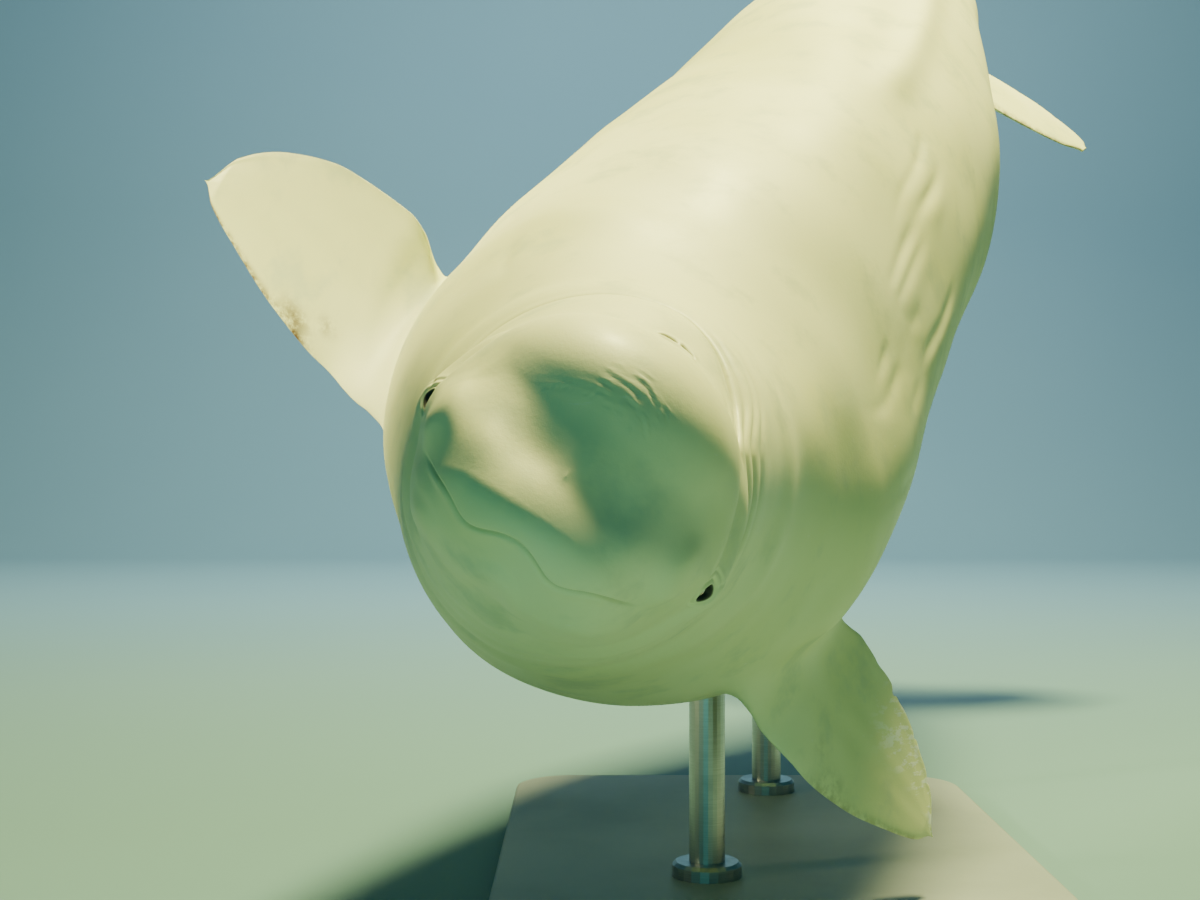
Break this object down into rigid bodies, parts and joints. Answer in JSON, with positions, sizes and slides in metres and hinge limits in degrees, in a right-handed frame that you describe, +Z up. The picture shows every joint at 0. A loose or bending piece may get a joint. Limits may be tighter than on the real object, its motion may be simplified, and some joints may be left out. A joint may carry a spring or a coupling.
{
  "type": "beluga whale model on a display stand",
  "caption": "Life-size white whale in a swimming pose, held above a flat base by two rods.",
  "frame": {"origin": "middle of the stand base's underside, on the floor", "axes": "+Z up, +Y the way the viewer looks, with the whale's snout towards -Y, +X to the viewer's right"},
  "size_m": [2.1717, 3.7713, 2.3331],
  "materials": {
    "skin": "smooth creamy white skin with faint folds and scars, soft sheen",
    "eye": "dark brown wet eye, glossy",
    "stand_base": "matt grey lacquered board",
    "stand_rod": "brushed steel"
  },
  "bodies": {
    "root": {"head": "skin", "neck": "skin", "chest": "skin", "belly": "skin", "tail_front": "skin", "tail_stock": "skin", "flipper_right": "skin", "flipper_left": "skin", "fluke_right": "skin", "fluke_left": "skin", "eye_right": "eye", "eye_left": "eye", "stand_base": "stand_base", "stand_rod_front": "stand_rod", "stand_rod_rear": "stand_rod"}
  },
  "joints": []
}
